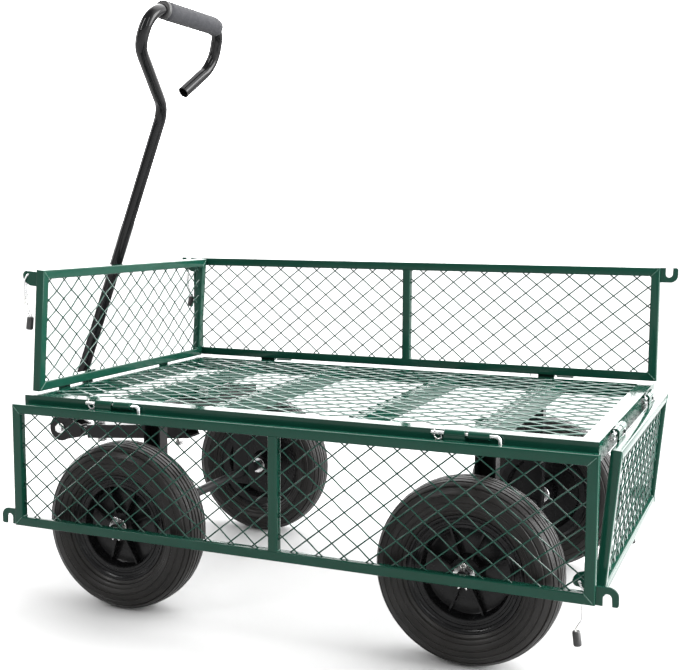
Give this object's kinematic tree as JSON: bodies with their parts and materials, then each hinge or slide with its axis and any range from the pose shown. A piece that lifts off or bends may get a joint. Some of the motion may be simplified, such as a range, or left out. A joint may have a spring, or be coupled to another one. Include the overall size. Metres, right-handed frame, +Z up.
{
  "type": "garden cart",
  "caption": "Steel-mesh garden cart with folding mesh sides, steered front axle, ribbed wheels on wide tyres and an upright loop pull handle with a foam grip.",
  "frame": {"origin": "centre of the footprint of the whole cart, on the ground under the tyres", "axes": "+Z up, the pull handle end towards -X, the raised side panel on +Y"},
  "size_m": [1.0454, 0.5634, 0.9278],
  "materials": {
    "bed_frame": "dark green powder coat, satin",
    "bed_mesh": "dark green powder-coated wire",
    "front_bolster": "dark green powder coat, satin",
    "rear_support": "black powder coat, semi-gloss",
    "rear_axle": "black powder coat, semi-gloss",
    "kingpin": "bright zinc plate",
    "thrust_washer": "bright zinc plate",
    "washer_rear_left": "bright zinc plate",
    "washer_rear_right": "bright zinc plate",
    "cotter_rear_left": "bright zinc plate",
    "cotter_rear_right": "bright zinc plate",
    "hinge_pin_left_front": "bright zinc plate",
    "hinge_pin_left_rear": "bright zinc plate",
    "hinge_pin_right_front": "bright zinc plate",
    "hinge_pin_right_rear": "bright zinc plate",
    "hinge_pin_front_left": "bright zinc plate",
    "hinge_pin_front_right": "bright zinc plate",
    "hinge_pin_rear_left": "bright zinc plate",
    "hinge_pin_rear_right": "bright zinc plate",
    "steer_fork": "black powder coat, semi-gloss",
    "front_axle": "black powder coat, semi-gloss",
    "drawbar": "black powder coat, semi-gloss",
    "yoke": "black powder coat, semi-gloss",
    "yoke_bolt": "bright zinc plate",
    "tongue_bolt": "bright zinc plate",
    "pivot_bolt": "bright zinc plate",
    "washer_front_left": "bright zinc plate",
    "washer_front_right": "bright zinc plate",
    "cotter_front_left": "bright zinc plate",
    "cotter_front_right": "bright zinc plate",
    "handle_tube": "black powder coat, semi-gloss",
    "handle_grip": "grey-black foam grip",
    "tyre_front_left": "black rubber, satin sidewall",
    "rim_front_left": "black moulded plastic, satin",
    "tyre_front_right": "black rubber, satin sidewall",
    "rim_front_right": "black moulded plastic, satin",
    "tyre_rear_left": "black rubber, satin sidewall",
    "rim_rear_left": "black moulded plastic, satin",
    "tyre_rear_right": "black rubber, satin sidewall",
    "rim_rear_right": "black moulded plastic, satin",
    "panel_left": "dark green powder coat, satin",
    "mesh_left_front": "dark green powder-coated wire",
    "mesh_left_rear": "dark green powder-coated wire",
    "panel_right": "dark green powder coat, satin",
    "mesh_right_front": "dark green powder-coated wire",
    "mesh_right_rear": "dark green powder-coated wire",
    "panel_front": "dark green powder coat, satin",
    "mesh_front": "dark green powder-coated wire",
    "panel_rear": "dark green powder coat, satin",
    "mesh_rear": "dark green powder-coated wire",
    "bail_front_left": "bright zinc plate",
    "bail_sleeve_front_left": "black rubber",
    "bail_front_right": "bright zinc plate",
    "bail_sleeve_front_right": "black rubber",
    "bail_rear_left": "bright zinc plate",
    "bail_sleeve_rear_left": "black rubber",
    "bail_rear_right": "bright zinc plate",
    "bail_sleeve_rear_right": "black rubber"
  },
  "bodies": {
    "chassis": {"bed_frame": "bed_frame", "bed_mesh": "bed_mesh", "front_bolster": "front_bolster", "rear_support": "rear_support", "rear_axle": "rear_axle", "kingpin": "kingpin", "thrust_washer": "thrust_washer", "washer_rear_left": "washer_rear_left", "washer_rear_right": "washer_rear_right", "cotter_rear_left": "cotter_rear_left", "cotter_rear_right": "cotter_rear_right", "hinge_pin_left_front": "hinge_pin_left_front", "hinge_pin_left_rear": "hinge_pin_left_rear", "hinge_pin_right_front": "hinge_pin_right_front", "hinge_pin_right_rear": "hinge_pin_right_rear", "hinge_pin_front_left": "hinge_pin_front_left", "hinge_pin_front_right": "hinge_pin_front_right", "hinge_pin_rear_left": "hinge_pin_rear_left", "hinge_pin_rear_right": "hinge_pin_rear_right"},
    "steering": {"steer_fork": "steer_fork", "front_axle": "front_axle", "drawbar": "drawbar", "yoke": "yoke", "yoke_bolt": "yoke_bolt", "tongue_bolt": "tongue_bolt", "pivot_bolt": "pivot_bolt", "washer_front_left": "washer_front_left", "washer_front_right": "washer_front_right", "cotter_front_left": "cotter_front_left", "cotter_front_right": "cotter_front_right"},
    "handle": {"handle_tube": "handle_tube", "handle_grip": "handle_grip"},
    "wheel_front_left": {"tyre_front_left": "tyre_front_left", "rim_front_left": "rim_front_left"},
    "wheel_front_right": {"tyre_front_right": "tyre_front_right", "rim_front_right": "rim_front_right"},
    "wheel_rear_left": {"tyre_rear_left": "tyre_rear_left", "rim_rear_left": "rim_rear_left"},
    "wheel_rear_right": {"tyre_rear_right": "tyre_rear_right", "rim_rear_right": "rim_rear_right"},
    "left_side": {"panel_left": "panel_left", "mesh_left_front": "mesh_left_front", "mesh_left_rear": "mesh_left_rear"},
    "right_side": {"panel_right": "panel_right", "mesh_right_front": "mesh_right_front", "mesh_right_rear": "mesh_right_rear"},
    "front_end": {"panel_front": "panel_front", "mesh_front": "mesh_front"},
    "rear_end": {"panel_rear": "panel_rear", "mesh_rear": "mesh_rear"},
    "latch_front_left": {"bail_front_left": "bail_front_left", "bail_sleeve_front_left": "bail_sleeve_front_left"},
    "latch_front_right": {"bail_front_right": "bail_front_right", "bail_sleeve_front_right": "bail_sleeve_front_right"},
    "latch_rear_left": {"bail_rear_left": "bail_rear_left", "bail_sleeve_rear_left": "bail_sleeve_rear_left"},
    "latch_rear_right": {"bail_rear_right": "bail_rear_right", "bail_sleeve_rear_right": "bail_sleeve_rear_right"}
  },
  "joints": [
    {"name": "steer", "type": "hinge", "parent": "chassis", "child": "steering", "pos_m": [-0.219, 0.007, 0.28], "axis": [0, 0, 1], "range_deg": [-6, 6]},
    {"name": "handle_tilt", "type": "hinge", "parent": "steering", "child": "handle", "pos_m": [-0.501, 0.007, 0.214], "axis": [0, -1, 0], "range_deg": [0, 115]},
    {"name": "roll_front_left", "type": "hinge", "parent": "steering", "child": "wheel_front_left", "pos_m": [-0.219, -0.221, 0.127], "axis": [0, 1, 0], "continuous": true},
    {"name": "roll_front_right", "type": "hinge", "parent": "steering", "child": "wheel_front_right", "pos_m": [-0.219, 0.235, 0.127], "axis": [0, 1, 0], "continuous": true},
    {"name": "roll_rear_left", "type": "hinge", "parent": "chassis", "child": "wheel_rear_left", "pos_m": [0.318, -0.221, 0.127], "axis": [0, 1, 0], "continuous": true},
    {"name": "roll_rear_right", "type": "hinge", "parent": "chassis", "child": "wheel_rear_right", "pos_m": [0.318, 0.235, 0.127], "axis": [0, 1, 0], "continuous": true},
    {"name": "fold_left_side", "type": "hinge", "parent": "chassis", "child": "left_side", "pos_m": [0.056, -0.262, 0.3165], "axis": [-1, 0, 0], "range_deg": [0, 180]},
    {"name": "fold_right_side", "type": "hinge", "parent": "chassis", "child": "right_side", "pos_m": [0.056, 0.276, 0.3165], "axis": [-1, 0, 0], "range_deg": [0, 180]},
    {"name": "fold_front_end", "type": "hinge", "parent": "chassis", "child": "front_end", "pos_m": [-0.383, 0.007, 0.3165], "axis": [0, -1, 0], "range_deg": [-5, 3]},
    {"name": "fold_rear_end", "type": "hinge", "parent": "chassis", "child": "rear_end", "pos_m": [0.495, 0.007, 0.3165], "axis": [0, -1, 0], "range_deg": [0, 186]},
    {"name": "swing_latch_front_left", "type": "hinge", "parent": "front_end", "child": "latch_front_left", "pos_m": [-0.3836, -0.233, 0.50149], "axis": [0, 1, 0], "range_deg": [-2, 175]},
    {"name": "swing_latch_front_right", "type": "hinge", "parent": "front_end", "child": "latch_front_right", "pos_m": [-0.3836, 0.247, 0.50149], "axis": [0, 1, 0], "range_deg": [-2, 175]},
    {"name": "swing_latch_rear_left", "type": "hinge", "parent": "rear_end", "child": "latch_rear_left", "pos_m": [0.46579, -0.233, 0.13383], "axis": [0, 1, 0], "range_deg": [-28, 15]},
    {"name": "swing_latch_rear_right", "type": "hinge", "parent": "rear_end", "child": "latch_rear_right", "pos_m": [0.46579, 0.247, 0.13383], "axis": [0, 1, 0], "range_deg": [-28, 15]}
  ]
}
